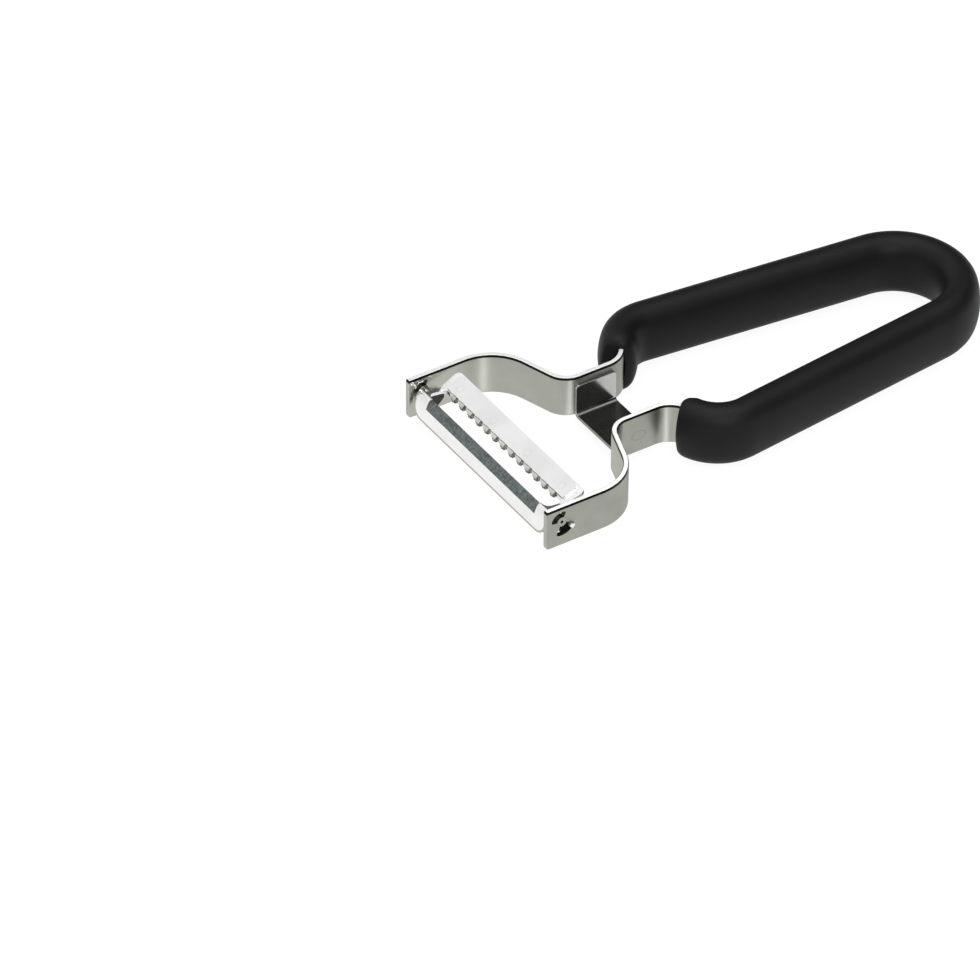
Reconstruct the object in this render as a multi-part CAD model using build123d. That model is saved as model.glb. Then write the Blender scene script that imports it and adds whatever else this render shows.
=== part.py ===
"""A Y-shaped julienne peeler: a bent steel strip with a soft loop handle and a swivelling toothed blade."""

import os
from math import cos, hypot, radians, sin

from build123d import *

# Steel strip of the frame, 12 by 1.5 mm stock with polished long edges
strip_height = 12.0
strip_thick = 1.5
strip_edge_round = 0.5
tip_corner_low = 1.5
tip_corner_high = 0.8

# Plan of the bends along the middle of the strip, from the arm tips to the end of the loop
arm_spacing = 64.6
shoulder_from_tips = 26.85
neck_spacing = 21.5
neck_from_tips = 34.0
flare_from_tips = 52.8
loop_centre_from_tips = 130.25
loop_radius = 16.8
shoulder_radius = 13.3
neck_radius = 6.0
flare_radius = 7.0
leg_radius = 11.9
flare_angle = 72.8
leg_taper = 6.35

# Soft grip round the loop, an oval of two flat and two round arcs over the strip
grip_side_cover = 4.45
grip_top_cover = 2.7
grip_end_narrower = 0.5
grip_mouth_angle = 52.0
grip_mouth_round = 2.5

# Brace bent from thin sheet between the two walls of the neck
brace_thick = 1.0
brace_from_tips = 36.6
brace_long = 12.3
brace_tall = 9.9
brace_bend = 2.0
brace_corner = 1.0

# Pivot of the blade, measured from the arm tips and the top of the strip
pivot_from_tips = 4.6
pivot_below_top = 4.55
trunnion_radius = 1.4
trunnion_bore = 0.45
trunnion_clearance = 0.04
trunnion_proud = 0.05

# Bow tie opening in each arm, two windows that meet at the pivot
upper_window_radius = 3.35
upper_window_from = 58.0
upper_window_sweep = 122.0
lower_window_radius = 4.35
lower_window_from = 247.0
lower_window_sweep = 91.0
window_corner = 0.6

# Carrier sheet of the blade, its outer line measured from the pivot
sheet_thick = 0.9
foot_ahead = 4.08
foot_below = 5.07
brow_ahead = 3.26
brow_below = 0.64
brow_bend = 9.0
crest_ahead = 2.1
crest_above = 1.75
crest_bend = 1.3
saddle_behind = 2.8
saddle_above = 1.07
saddle_bend = 2.5
rear_slope = 21.4
rear_past_plate = 0.35

# Ends of the carrier, each measured inwards from the one before, the first from the arm's inner wall
guard_clearance = 0.95
guard_corner = 2.0
waist_inset = 1.7
rear_flare = 0.7
slot_inset = 1.3
slot_corner = 1.8
slot_behind_pivot = 3.9
rear_corner = 1.6

# Ground cutting edge, facing the handle
edge_ahead = 1.34
edge_above = 1.3
edge_inset = 2.2

# Ear folded down at each end of the carrier, its outline measured from the pivot
ear_ahead = 1.5
ear_behind = 2.3
ear_below = 3.9
ear_corner = 1.2

# Stop beside each arm, a fan on the trunnion with a tongue through the lower window
stop_radius = 6.4
stop_sweep = 56.0
stop_clearance = 0.45
tongue_inner = 2.6
tongue_outer = 3.9
tongue_sweep = 20.0
tongue_clearance = 1.2
tongue_proud = 0.8

# Toothed plate welded on the rear bar of the carrier
plate_thick = 0.6
plate_inset = 2.3
plate_deep = 6.15
plate_from_saddle = 0.62
plate_rear_corner = 1.6
plate_front_corner = 0.8
tooth_row_inset = 4.2
tooth_pitch = 3.84
tooth_wide = 3.1
tooth_long = 1.48
tooth_bend = 54.0
tooth_skew = 3.8

# Spare length that a cutter runs past what it cuts
overrun = 1.0

# Places worked out from the sizes above
grip_wide = strip_thick + 2 * grip_side_cover
grip_high = strip_height + 2 * grip_top_cover
grip_end_arc = grip_wide / 2 - grip_end_narrower
overall_length = loop_centre_from_tips + loop_radius + grip_wide / 2
tips_y = -overall_length / 2
strip_floor = grip_top_cover
strip_middle = strip_floor + strip_height / 2
arm_outer = (arm_spacing + strip_thick) / 2
arm_inner = (arm_spacing - strip_thick) / 2
guard_half = arm_inner - guard_clearance
waist_half = guard_half - waist_inset
rear_half = waist_half + rear_flare
slot_half = waist_half - slot_inset
edge_half = slot_half - edge_inset
plate_half = rear_half - plate_inset
tooth_count = int(2 * (plate_half - tooth_row_inset) / tooth_pitch) + 1
neck_inner = (neck_spacing - strip_thick) / 2
pivot_y = tips_y + pivot_from_tips
pivot_z = strip_floor + strip_height - pivot_below_top
slope_y = cos(radians(rear_slope))
slope_z = sin(radians(rear_slope))
across = Vector(1, 0, 0)
pivot_plane = Plane((0, pivot_y, pivot_z), x_dir=(0, 1, 0), z_dir=(1, 0, 0))


def bent_sheet(path, side, section):
    """Sweep a flat section along a bent path, with the section's first axis along side."""
    plane = Plane(path @ 0, x_dir=side, z_dir=path % 0)
    return sweep(plane * section, path=path)


def both_ends(piece):
    """The same feature at the right and the left end of the tool."""
    return piece + mirror(piece, about=Plane.YZ)


def half_bends():
    """Right half of the strip's middle line, from the arm tip to the start of the loop's round end."""
    taper = radians(leg_taper)
    flare = radians(flare_angle)
    round_x = loop_radius * cos(taper)
    round_y = tips_y + loop_centre_from_tips + loop_radius * sin(taper)
    neck_x = neck_spacing / 2
    flare_y = tips_y + flare_from_tips
    run_y = round_y - flare_y
    run_x = round_x - neck_x
    leg = (run_y * sin(flare) - run_x * cos(flare)) / sin(flare + taper)
    leg_x = round_x + leg * sin(taper)
    leg_y = round_y - leg * cos(taper)
    return FilletPolyline(
        (arm_spacing / 2, tips_y, strip_middle),
        (arm_spacing / 2, tips_y + shoulder_from_tips, strip_middle),
        (neck_x, tips_y + neck_from_tips, strip_middle),
        (neck_x, flare_y, strip_middle),
        (leg_x, leg_y, strip_middle),
        (round_x, round_y, strip_middle),
        radius=[shoulder_radius, neck_radius, flare_radius, leg_radius],
    )


def whole_line(right_edges):
    """Close the right half over the loop's end with its mirrored left half."""
    start = max((end for edge in right_edges for end in (edge @ 0, edge @ 1)), key=lambda end: end.Y)
    middle = (0, tips_y + loop_centre_from_tips + loop_radius, strip_middle)
    loop_end = ThreePointArc(start, middle, (-start.X, start.Y, start.Z))
    left_edges = [mirror(edge, about=Plane.YZ) for edge in right_edges]
    return Wire([*right_edges, loop_end.edge(), *[edge.edge() for edge in left_edges]])


def side_of(path):
    """Horizontal direction across the strip where a path starts."""
    return (path % 0).cross(Vector(0, 0, 1))


def sector(radius, start, sweep_angle):
    """Slice of a disc on the pivot, from one angle over another."""
    first = radians(start)
    last = radians(start + sweep_angle)
    reach = 3 * radius
    slice_outline = Polygon(
        (0, 0),
        (reach * cos(first), reach * sin(first)),
        (reach * cos(last), reach * sin(last)),
        align=None,
    )
    return Circle(radius) & slice_outline


def fan(radius, start, sweep_angle, corner):
    """Slice of a disc on the pivot with rounded outer corners."""
    plain = sector(radius, start, sweep_angle)
    rim = plain.vertices().filter_by(lambda v: hypot(v.X, v.Y) > radius - corner)
    return fillet(rim, corner)


def tip_corner(radius, level, upward):
    """Waste outside a rounded corner at the arm tips, cut across both arms."""
    inside_y = tips_y + radius
    inside_z = level - upward * radius
    block = Pos(tips_y + (radius - overrun) / 2, inside_z + upward * (radius + overrun) / 2)
    waste = block * Rectangle(radius + overrun, radius + overrun) - Pos(inside_y, inside_z) * Circle(radius)
    waste_plane = Plane((0, 0, 0), x_dir=(0, 1, 0), z_dir=(1, 0, 0))
    return extrude(waste_plane * waste, amount=arm_outer + overrun, both=True)


def make_frame_band():
    """One strip on edge: two arms, shoulders, neck and the loop inside the grip."""
    line = whole_line(half_bends().edges())
    section = RectangleRounded(strip_thick, strip_height, strip_edge_round)
    band = bent_sheet(line, side_of(line), section)
    band -= tip_corner(tip_corner_low, strip_floor, -1)
    band -= tip_corner(tip_corner_high, strip_floor + strip_height, 1)
    opening = Circle(trunnion_radius + trunnion_clearance)
    opening += fan(upper_window_radius, upper_window_from, upper_window_sweep, window_corner)
    opening += fan(lower_window_radius, lower_window_from, lower_window_sweep, window_corner)
    band -= extrude(pivot_plane * opening, amount=arm_outer + overrun, both=True)
    return band


def grip_oval():
    """Oval of the grip: wide arcs on its sides, small arcs at top and bottom."""
    half_wide = grip_wide / 2
    rise = grip_high / 2 - grip_end_arc
    side_arc = (half_wide**2 + rise**2 - grip_end_arc**2) / (2 * (half_wide - grip_end_arc))
    reach = side_arc - grip_end_arc
    joint_x = grip_end_arc * (side_arc - half_wide) / reach
    joint_y = rise + grip_end_arc * rise / reach
    outline = [
        ThreePointArc((joint_x, -joint_y), (half_wide, 0), (joint_x, joint_y)),
        ThreePointArc((joint_x, joint_y), (0, grip_high / 2), (-joint_x, joint_y)),
        ThreePointArc((-joint_x, joint_y), (-half_wide, 0), (-joint_x, -joint_y)),
        ThreePointArc((-joint_x, -joint_y), (0, -grip_high / 2), (joint_x, -joint_y)),
    ]
    return make_face(outline)


def make_handle_grip(band):
    """Soft sleeve over the loop, from the middle of one flare bend to the other."""
    edges = half_bends().edges().sort_by(Axis.Y)
    flare_bend = [edge for edge in edges if edge.geom_type == GeomType.CIRCLE][2]
    after = [edge for edge in edges if edge.center().Y > flare_bend.center().Y]
    start = flare_bend.trim(grip_mouth_angle / flare_angle, 1)
    line = whole_line([start, *after])
    grip = bent_sheet(line, side_of(line), grip_oval())
    mouths = [face for face in grip.faces() if face.geom_type == GeomType.PLANE]
    rims = ShapeList(edge for face in mouths for edge in face.edges())
    grip = fillet(rims, grip_mouth_round)
    return grip - band


def make_neck_brace():
    """Channel of thin sheet, its flanges welded to the neck's inner walls."""
    middle_y = tips_y + brace_from_tips + brace_long / 2
    top_z = strip_floor + brace_tall
    line = FilletPolyline(
        (-neck_inner, middle_y, top_z),
        (-neck_inner, middle_y, strip_floor),
        (neck_inner, middle_y, strip_floor),
        (neck_inner, middle_y, top_z),
        radius=brace_bend,
    )
    section = Rectangle(brace_long, brace_thick, align=(Align.CENTER, Align.MIN))
    brace = bent_sheet(line, Vector(0, 1, 0), section)
    corners = brace.edges().filter_by(Axis.X).group_by(Axis.Z)[-1]
    return fillet(corners, brace_corner)


def make_swivel_blade():
    """Stamped carrier: front guard with the cutting edge, slot, rear bar, ears and rolled trunnions."""
    rear_run = plate_from_saddle + plate_deep + rear_past_plate
    saddle_y = pivot_y + saddle_behind
    saddle_z = pivot_z + saddle_above
    line = FilletPolyline(
        (0, pivot_y - foot_ahead, pivot_z - foot_below),
        (0, pivot_y - brow_ahead, pivot_z - brow_below),
        (0, pivot_y - crest_ahead, pivot_z + crest_above),
        (0, saddle_y, saddle_z),
        (0, saddle_y + rear_run * slope_y, saddle_z + rear_run * slope_z),
        radius=[brow_bend, crest_bend, saddle_bend],
    )
    section = Rectangle(2 * guard_half, sheet_thick, align=(Align.CENTER, Align.MIN))
    blade = bent_sheet(line, across, section)
    feet = blade.edges().filter_by(lambda edge: abs(edge.length - sheet_thick) < trunnion_clearance)
    blade = fillet(feet.sort_by(Axis.Z)[0:2], guard_corner)

    # Waisted ends behind the guard, then the slot
    back_y = pivot_y - crest_ahead + crest_bend
    far_y = pivot_y + saddle_behind + rear_run + overrun
    high_z = pivot_z + crest_above + rear_run
    waist = Polyline(
        (waist_half, back_y),
        (waist_half, saddle_y),
        (rear_half, far_y),
        (guard_half + overrun, far_y),
        (guard_half + overrun, back_y),
        close=True,
    )
    blade -= both_ends(extrude(make_face(waist), amount=high_z))
    ends = blade.edges().filter_by(lambda edge: abs(edge.length - sheet_thick) < trunnion_clearance)
    blade = fillet(ends.sort_by(Axis.Y)[-2:], rear_corner)
    slot_front = pivot_y - edge_ahead
    slot_deep = edge_ahead + slot_behind_pivot
    slot = Pos(0, slot_front + slot_deep / 2) * RectangleRounded(2 * slot_half, slot_deep, slot_corner)
    blade -= extrude(slot, amount=high_z)

    # Ground face that makes the cutting edge
    brow = Vector(0, pivot_y - brow_ahead, pivot_z - brow_below)
    edge = Vector(0, pivot_y - edge_ahead, pivot_z + edge_above)
    grind = Plane((brow + edge) / 2, x_dir=across, z_dir=across.cross(edge - brow))
    blade -= extrude(grind * Rectangle(2 * edge_half, (edge - brow).length + overrun), amount=sheet_thick * 2)

    # Ears, trunnions and the stops with their tongues
    ear_from = waist_half - sheet_thick
    ear_at = Pos((ear_behind - ear_ahead) / 2, (saddle_above - ear_below) / 2)
    ear = ear_at * Rectangle(ear_ahead + ear_behind, saddle_above + ear_below)
    ear = fillet(ear.vertices().group_by(Axis.Y)[0], ear_corner)
    ends = extrude(pivot_plane.offset(ear_from) * ear, amount=sheet_thick)
    barrel = pivot_plane.offset(ear_from) * Circle(trunnion_radius)
    ends += extrude(barrel, amount=arm_outer + trunnion_proud - ear_from)
    stop_end = lower_window_from + lower_window_sweep - tongue_clearance
    stop_from = arm_inner - stop_clearance - sheet_thick
    stop = fan(stop_radius, stop_end - stop_sweep, stop_sweep, ear_corner)
    ends += extrude(pivot_plane.offset(stop_from) * stop, amount=sheet_thick)
    tongue = sector(tongue_outer, stop_end - tongue_sweep, tongue_sweep) - Circle(tongue_inner)
    ends += extrude(pivot_plane.offset(stop_from) * tongue, amount=arm_outer + tongue_proud - stop_from)
    bore = pivot_plane.offset(ear_from - overrun) * Circle(trunnion_bore)
    ends -= extrude(bore, amount=arm_outer + overrun - ear_from + overrun)
    return blade + both_ends(ends)


def make_julienne_plate():
    """Flat plate on the rear bar, its front edge cut and bent down into a row of teeth."""
    saddle = Vector(0, pivot_y + saddle_behind, pivot_z + saddle_above)
    slope = Vector(0, slope_y, slope_z)
    lift = Vector(0, -slope_z, slope_y)
    bed = Plane(saddle, x_dir=across, z_dir=lift)
    middle = plate_from_saddle + plate_deep / 2
    plate = extrude(bed * Pos(0, middle) * Rectangle(2 * plate_half, plate_deep), amount=plate_thick)
    ends = plate.edges().filter_by(lambda edge: abs(edge.length - plate_thick) < trunnion_clearance)
    ends = ends.sort_by(Axis.Y)
    plate = fillet(ends[2:4], plate_rear_corner)
    ends = plate.edges().filter_by(lambda edge: abs(edge.length - plate_thick) < trunnion_clearance)
    plate = fillet(ends.sort_by(Axis.Y)[0:2], plate_front_corner)

    # Teeth along the front edge, each a triangle folded down on a line that is slightly askew
    brink = saddle + slope * plate_from_saddle + lift * plate_thick
    bend = radians(rear_slope + tooth_bend)
    down = Vector(0, -cos(bend), -sin(bend))
    fold = across * cos(radians(tooth_skew)) + slope * sin(radians(tooth_skew))
    outline = Polygon((-tooth_wide / 2, 0), (tooth_wide / 2, 0), (0, tooth_long), align=None)
    teeth = []
    for index in range(tooth_count):
        middle_x = (index - (tooth_count - 1) / 2) * tooth_pitch
        comb = Plane(brink + across * middle_x, x_dir=fold, z_dir=fold.cross(down))
        teeth.append(extrude(comb * outline, amount=plate_thick))
    return plate + teeth


def main():
    """Write each piece to its own file."""
    os.makedirs("parts", exist_ok=True)
    band = make_frame_band()
    pieces = {
        "frame_band": band,
        "handle_grip": make_handle_grip(band),
        "neck_brace": make_neck_brace(),
        "swivel_blade": make_swivel_blade(),
        "julienne_plate": make_julienne_plate(),
    }
    for name, piece in pieces.items():
        print(name, len(piece.solids()), round(piece.volume))
        export_step(piece, f"parts/{name}.step")


main()
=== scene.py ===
"""Looks of a Y-shaped julienne peeler: bent steel strip, soft loop grip and swivelling toothed blade."""

from math import asin, atan2, cos, hypot, pi, radians, sin, tan

import bmesh
import bpy
from mathutils import Matrix, Vector


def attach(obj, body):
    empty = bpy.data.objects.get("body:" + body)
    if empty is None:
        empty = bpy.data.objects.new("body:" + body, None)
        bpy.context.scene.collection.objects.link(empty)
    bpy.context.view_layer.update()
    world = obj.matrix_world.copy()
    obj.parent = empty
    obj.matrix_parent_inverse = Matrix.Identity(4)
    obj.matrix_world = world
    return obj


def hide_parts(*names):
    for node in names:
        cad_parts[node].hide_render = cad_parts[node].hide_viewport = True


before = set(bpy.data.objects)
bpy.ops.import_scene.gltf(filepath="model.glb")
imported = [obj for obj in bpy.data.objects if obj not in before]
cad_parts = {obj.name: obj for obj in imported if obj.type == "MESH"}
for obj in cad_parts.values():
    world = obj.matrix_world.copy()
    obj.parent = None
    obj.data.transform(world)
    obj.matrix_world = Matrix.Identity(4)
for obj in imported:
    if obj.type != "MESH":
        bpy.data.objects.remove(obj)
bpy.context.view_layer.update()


# Camera. It stands where the photograph was taken from, high over the right side of the blade end,
# a long lens from two metres away, and looks at the middle of the blade.
look_at = Vector((0.0045, -0.074555, 0.0027))
camera_azimuth = radians(56.9)
camera_elevation = radians(38.12)
camera_roll = radians(0.42)
camera_distance = 2.18225
camera_lens = 315.49

toward_camera = Vector((
    sin(camera_azimuth) * cos(camera_elevation),
    -cos(camera_azimuth) * cos(camera_elevation),
    sin(camera_elevation),
))
level_right = Vector((cos(camera_azimuth), sin(camera_azimuth), 0))
level_up = toward_camera.cross(level_right)
camera_right = level_right * cos(camera_roll) + level_up * sin(camera_roll)
camera_up = level_up * cos(camera_roll) - level_right * sin(camera_roll)
camera_data = bpy.data.cameras.new("camera")
camera_data.sensor_width = 36
camera_data.lens = camera_lens
camera_data.clip_end = 50
camera = bpy.data.objects.new("camera", camera_data)
turn = Matrix((camera_right, camera_up, toward_camera)).transposed()
camera.matrix_world = Matrix.Translation(look_at + toward_camera * camera_distance) @ turn.to_4x4()
bpy.context.scene.collection.objects.link(camera)
bpy.context.scene.camera = camera


# Frame. One stainless strip, 12 by 1.5 mm, bent on edge into two arms, shoulders, a neck and the
# loop inside the grip. Its faces are satin, its long edges rounded and polished, and each arm is
# pierced with a bow tie opening that holds the blade's pivot. All sizes here are in millimetres.
strip_height = 12.0
strip_thick = 1.5
strip_edge_round = 0.35
strip_floor = 2.7
strip_middle = strip_floor + strip_height / 2
tips_y = -76.125
arm_middle = 32.3
arm_outer = arm_middle + strip_thick / 2
arm_inner = arm_middle - strip_thick / 2
shoulder_corner = (arm_middle, tips_y + 26.85)
neck_corner = (10.75, tips_y + 34.0)
flare_corner = (10.75, tips_y + 52.8)
leg_corner = (25.034, tips_y + 57.221)
shoulder_radius = 13.3
neck_radius = 6.0
flare_radius = 7.0
leg_radius = 11.9
loop_centre_y = tips_y + 130.25
loop_radius = 16.8
leg_taper = radians(6.35)
bend_steps = 24
tip_corner_low = 1.0
tip_corner_high = 0.5
tip_end_round = 0.16
pivot_y = tips_y + 4.6
pivot_z = strip_floor + 7.45
pivot_hole = 1.44

# Each window of the bow tie: radius from the pivot, first angle, angle that it spans
upper_window = (3.15, radians(64), radians(112))
lower_window = (4.35, radians(247), radians(91))
window_corner = 0.6
tip_long = 5.0
round_steps = 6
round_sides = 32
broken_edge = 0.09
hard_angle = radians(40)
bend_ease = 0.9995
merge_within = 0.002
overrun = 1.0

# Finish. A pair of numbers is where a fade starts and ends
brushed_long = 0.06
bright_tip_before = (14, 5)
inner_face_within = (0.1, 0.3)
# Painted reflection: from this height over the strip's middle, a dark band is painted along the rounded top
# edge
painted_reflection_over = (5.22, 5.34)
# Polished top edge, where a white highlight is also painted in
edge_highlight_over = (5.95, 5.975)
weld_from_tips = 42.2
weld_level = 8.0
weld_half_long = 2.3
weld_half_high = 1.5
weld_inner_fade = (0.78, 0.88)
weld_outer_fade = (0.95, 1.05)
weld_shade = 0.2
satin_grey = (0.435, 0.44, 0.39, 1)
satin_light = (0.49, 0.495, 0.445, 1)
# Dark of the spot weld ring, and of the painted dark reflection along the top edge
weld_and_painted_reflection_dark = (0.012, 0.012, 0.011, 1)
# White of the painted highlight on the polished top edge
painted_highlight_white = (0.88, 0.88, 0.87, 1)
# Painted shade: near-black steel for the walls of the bow tie openings and the blade's ends behind them
painted_shade_deep = (0.03, 0.03, 0.027, 1)
painted_shade_pale = (0.07, 0.07, 0.063, 1)
painted_shade_reach = lower_window[0] + 0.25


class Socket:
    """An output in a node tree. Arithmetic on it adds Math nodes."""

    def __init__(self, tree, output):
        self.tree = tree
        self.output = output

    def add(self, kind, settings=(), sockets=(), give=0):
        """Add a node, its settings first, then the values or links of its sockets."""
        node = self.tree.nodes.new(kind)
        for name, value in dict(settings).items():
            setattr(node, name, value)
        for name, value in dict(sockets).items():
            if isinstance(value, Socket):
                self.tree.links.new(value.output, node.inputs[name])
            else:
                node.inputs[name].default_value = value
        return Socket(self.tree, node.outputs[give])

    def math(self, operation, *values):
        return self.add("ShaderNodeMath", {"operation": operation}, dict(enumerate(values)))

    def vector(self, operation, sockets, give=0):
        return self.add("ShaderNodeVectorMath", {"operation": operation}, sockets, give)

    def axis(self, letter):
        """One coordinate of a place or direction."""
        return self.add("ShaderNodeSeparateXYZ", (), {"Vector": self}, letter)

    def noise(self, scale, detail, stretch=None):
        """Even or stretched grain at this place."""
        grained = self.vector("MULTIPLY", {0: self, 1: stretch}) if stretch else self
        return self.add("ShaderNodeTexNoise", (), {"Vector": grained, "Scale": scale, "Detail": detail})

    def bump(self, strength, distance):
        """Normals of a surface whose height is this pattern."""
        return self.add("ShaderNodeBump", (), {"Height": self, "Strength": strength, "Distance": distance})

    def blend(self, low, high):
        """Colour between two others, by this mask."""
        sockets = {0: self, 6: low, 7: high}
        return self.add("ShaderNodeMix", {"data_type": "RGBA"}, sockets, 2)

    def __add__(self, other):
        return self.math("ADD", self, other)

    __radd__ = __add__

    def __sub__(self, other):
        return self.math("SUBTRACT", self, other)

    def __rsub__(self, other):
        return self.math("SUBTRACT", other, self)

    def __mul__(self, other):
        return self.math("MULTIPLY", self, other)

    __rmul__ = __mul__

    def __abs__(self):
        return self.math("ABSOLUTE", self)

    def between(self, low, high):
        """0 below low, 1 above high, smooth in between."""
        sockets = {"Value": self, "From Min": low, "From Max": high}
        return self.add("ShaderNodeMapRange", {"interpolation_type": "SMOOTHSTEP"}, sockets)


def new_material(name, **constants):
    """A material with its constant shader values set, and a start for its pattern nodes."""
    material = bpy.data.materials.new(name)
    material.use_nodes = True
    shader = material.node_tree.nodes["Principled BSDF"]
    for socket, value in constants.items():
        shader.inputs[socket.replace("_", " ")].default_value = value
    place = material.node_tree.nodes.new("ShaderNodeTexCoord").outputs["Object"]
    return material, Socket(material.node_tree, place)


def feed(material, **varying):
    """Link what changes over a surface to the material's shader."""
    shader = material.node_tree.nodes["Principled BSDF"]
    for socket, value in varying.items():
        material.node_tree.links.new(value.output, shader.inputs[socket.replace("_", " ")])


def line_object(name, points, bends=None, cyclic=False):
    """A run of straight lines as a curve, each corner's bend radius kept as its point radius."""
    curve = bpy.data.curves.new(name, "CURVE")
    curve.dimensions = "3D"
    spline = curve.splines.new("POLY")
    spline.points.add(len(points) - 1)
    spline.use_cyclic_u = cyclic
    for index, corner in enumerate(points):
        spline.points[index].co = (*corner, 1)
        spline.points[index].radius = bends[index] if bends else 1
    drawn = bpy.data.objects.new(name, curve)
    bpy.context.scene.collection.objects.link(drawn)
    return drawn


def tree_with(name, inputs):
    """A Geometry Nodes tree with named inputs, and a dictionary of them as sockets."""
    tree = bpy.data.node_groups.new(name, "GeometryNodeTree")
    for title, kind in inputs.items():
        tree.interface.new_socket(title, in_out="INPUT", socket_type="NodeSocket" + kind)
    tree.interface.new_socket("Mesh", in_out="OUTPUT", socket_type="NodeSocketGeometry")
    outputs = tree.nodes.new("NodeGroupInput").outputs
    return tree, {title: Socket(tree, outputs[title]) for title in inputs}


def end_tree(tree, geometry, material):
    """Close a tree with real geometry that wears its material."""
    real = geometry.add("GeometryNodeRealizeInstances", (), {"Geometry": geometry})
    dressed = real.add("GeometryNodeSetMaterial", (), {"Geometry": real, "Material": material})
    result = tree.nodes.new("NodeGroupOutput")
    tree.links.new(dressed.output, result.inputs["Mesh"])


def plain_mesh(thing):
    """The evaluated shape of an object as a mesh of its own."""
    depsgraph = bpy.context.evaluated_depsgraph_get()
    return bpy.data.meshes.new_from_object(thing.evaluated_get(depsgraph))


def grown(tree, values):
    """Run a tree once with these input values and keep the result as a plain mesh."""
    holder = bpy.data.objects.new(tree.name, bpy.data.meshes.new(tree.name))
    bpy.context.scene.collection.objects.link(holder)
    modifier = holder.modifiers.new(tree.name, "NODES")
    modifier.node_group = tree
    for item in tree.interface.items_tree:
        if item.name in values:
            modifier[item.identifier] = values[item.name]
    mesh = plain_mesh(holder)
    bpy.data.objects.remove(holder)
    for used in values.values():
        if isinstance(used, bpy.types.Object):
            bpy.data.objects.remove(used)
    return mesh


def sweep_tree():
    """A section carried along a line with rounded bends."""
    tree, given = tree_with("bent sweep", {
        "Path": "Object", "Section": "Object", "Side": "Vector", "Bend steps": "Int", "Surface": "Material",
    })
    start = given["Path"]
    path = start.add("GeometryNodeObjectInfo", (), {"Object": given["Path"]}, "Geometry")
    section = start.add("GeometryNodeObjectInfo", (), {"Object": given["Section"]}, "Geometry")
    bend = start.add("GeometryNodeInputRadius")
    sockets = {"Curve": path, "Count": given["Bend steps"], "Radius": bend}
    bent = start.add("GeometryNodeFilletCurve", {"mode": "POLY"}, sockets)
    even = start.add("GeometryNodeSetCurveRadius", (), {"Curve": bent, "Radius": 1.0})
    sockets = {"Curve": even, "Normal": given["Side"]}
    levelled = start.add("GeometryNodeSetCurveNormal", {"mode": "FREE"}, sockets)
    sockets = {"Curve": levelled, "Profile Curve": section}
    end_tree(tree, start.add("GeometryNodeCurveToMesh", (), sockets), given["Surface"])
    return tree


bent_sweep = sweep_tree()


def prism(outline, low, high, axes):
    """Closed block over a flat outline, between two levels. The columns of axes give its directions."""
    mesh = bpy.data.meshes.new("block")
    shape = bmesh.new()
    rings = []
    for level in (low, high):
        rings.append([shape.verts.new(axes @ Vector((*point, level))) for point in outline])
    shape.faces.new(rings[0])
    shape.faces.new(rings[1])
    for index in range(len(outline)):
        after = (index + 1) % len(outline)
        shape.faces.new((rings[0][index], rings[0][after], rings[1][after], rings[1][index]))
    bmesh.ops.recalc_face_normals(shape, faces=shape.faces)
    shape.to_mesh(mesh)
    shape.free()
    return mesh


def arc(centre, radius, first, last, steps=8):
    """Points on an arc from one angle to another."""
    turns = [first + (last - first) * index / steps for index in range(steps + 1)]
    return [(centre[0] + radius * cos(turn), centre[1] + radius * sin(turn)) for turn in turns]


def rounded_outline(corners, rounds, steps=8):
    """Flat outline with each corner rounded, all corners turning left."""
    outline = []
    for index, (corner, radius) in enumerate(zip(corners, rounds)):
        here = Vector(corner)
        back = (Vector(corners[index - 1]) - here).normalized()
        ahead = (Vector(corners[(index + 1) % len(corners)]) - here).normalized()
        half = back.angle(ahead) / 2
        if radius == 0:
            outline.append(tuple(here))
            continue
        centre = here + (back + ahead).normalized() * (radius / sin(half))
        first = atan2(*reversed(here + back * (radius / tan(half)) - centre))
        outline += arc(centre, radius, first, first + pi - 2 * half, steps)
    return outline


def combined(mesh, tools, operation):
    """The mesh with other closed blocks cut away or joined on."""
    work = bpy.data.objects.new("work", mesh)
    bpy.context.scene.collection.objects.link(work)
    helpers = []
    for tool in tools:
        helper = bpy.data.objects.new("tool", tool)
        bpy.context.scene.collection.objects.link(helper)
        helpers.append(helper)
        modifier = work.modifiers.new("combine", "BOOLEAN")
        modifier.operation = operation
        modifier.solver = "EXACT"
        modifier.object = helper
    result = plain_mesh(work)
    for used in [work, *helpers]:
        bpy.data.objects.remove(used)
    return result


def make_piece(name, mesh, edge, material, sharp=35):
    """An object in metres from a mesh in millimetres, its hard edges broken and its bends smooth."""
    mesh.transform(Matrix.Scale(0.001, 4))
    work = bpy.data.objects.new(name, mesh)
    bpy.context.scene.collection.objects.link(work)
    if edge:
        bevel = work.modifiers.new("edge", "BEVEL")
        bevel.width = edge * 0.001
        bevel.segments = 2
        bevel.limit_method = "ANGLE"
        bevel.angle_limit = hard_angle
        bevel.miter_outer = "MITER_ARC"
        work.data = plain_mesh(work)
        work.modifiers.clear()
    work.data.name = name
    work.data.materials.clear()
    work.data.materials.append(material)
    work.data.shade_smooth()
    work.data.set_sharp_from_angle(angle=radians(sharp))
    if edge:
        flat_faces = work.modifiers.new("flat faces", "WEIGHTED_NORMAL")
        flat_faces.keep_sharp = True
        flat_faces.weight = 80
        work.data = plain_mesh(work)
        work.modifiers.clear()
        work.data.name = name
    return work


def close_ends(mesh):
    """Flat faces over the open ends of a swept section."""
    shape = bmesh.new()
    shape.from_mesh(mesh)
    bmesh.ops.remove_doubles(shape, verts=shape.verts, dist=merge_within)
    bmesh.ops.holes_fill(shape, edges=[edge for edge in shape.edges if edge.is_boundary])
    bmesh.ops.recalc_face_normals(shape, faces=shape.faces)
    shape.to_mesh(mesh)
    shape.free()
    return mesh


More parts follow.
